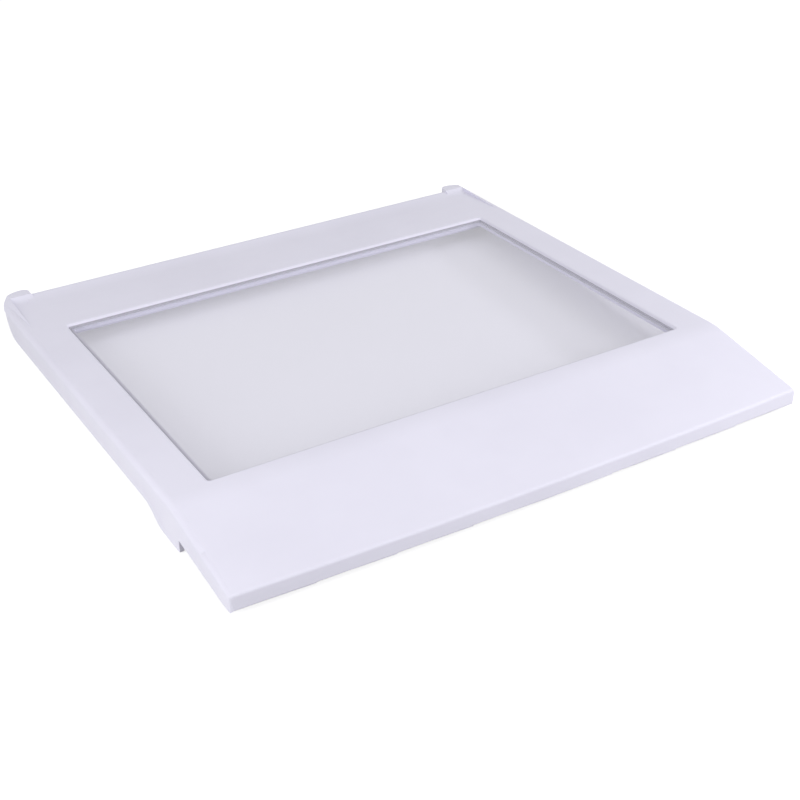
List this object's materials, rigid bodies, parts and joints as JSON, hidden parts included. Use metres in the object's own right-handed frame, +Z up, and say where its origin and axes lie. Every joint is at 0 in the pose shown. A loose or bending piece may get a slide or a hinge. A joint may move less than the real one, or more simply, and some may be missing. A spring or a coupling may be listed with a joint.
{
  "type": "fridge glass shelf",
  "caption": "Shelf for a fridge: a white moulded frame with a sloping front apron, low rear lip and ears, holding a clear glass pane just below its rails.",
  "frame": {"origin": "under the middle of the shelf, level with the bottom of its front feet", "axes": "+X to the right across the shelf, +Y from the front edge to the rear edge, +Z up"},
  "size_m": [0.442, 0.4334, 0.0343],
  "materials": {
    "moulding": "white moulding, satin",
    "glass": "clear, seamed edges"
  },
  "bodies": {
    "root": {"shelf_frame": "moulding", "glass_pane": "glass"}
  },
  "joints": []
}
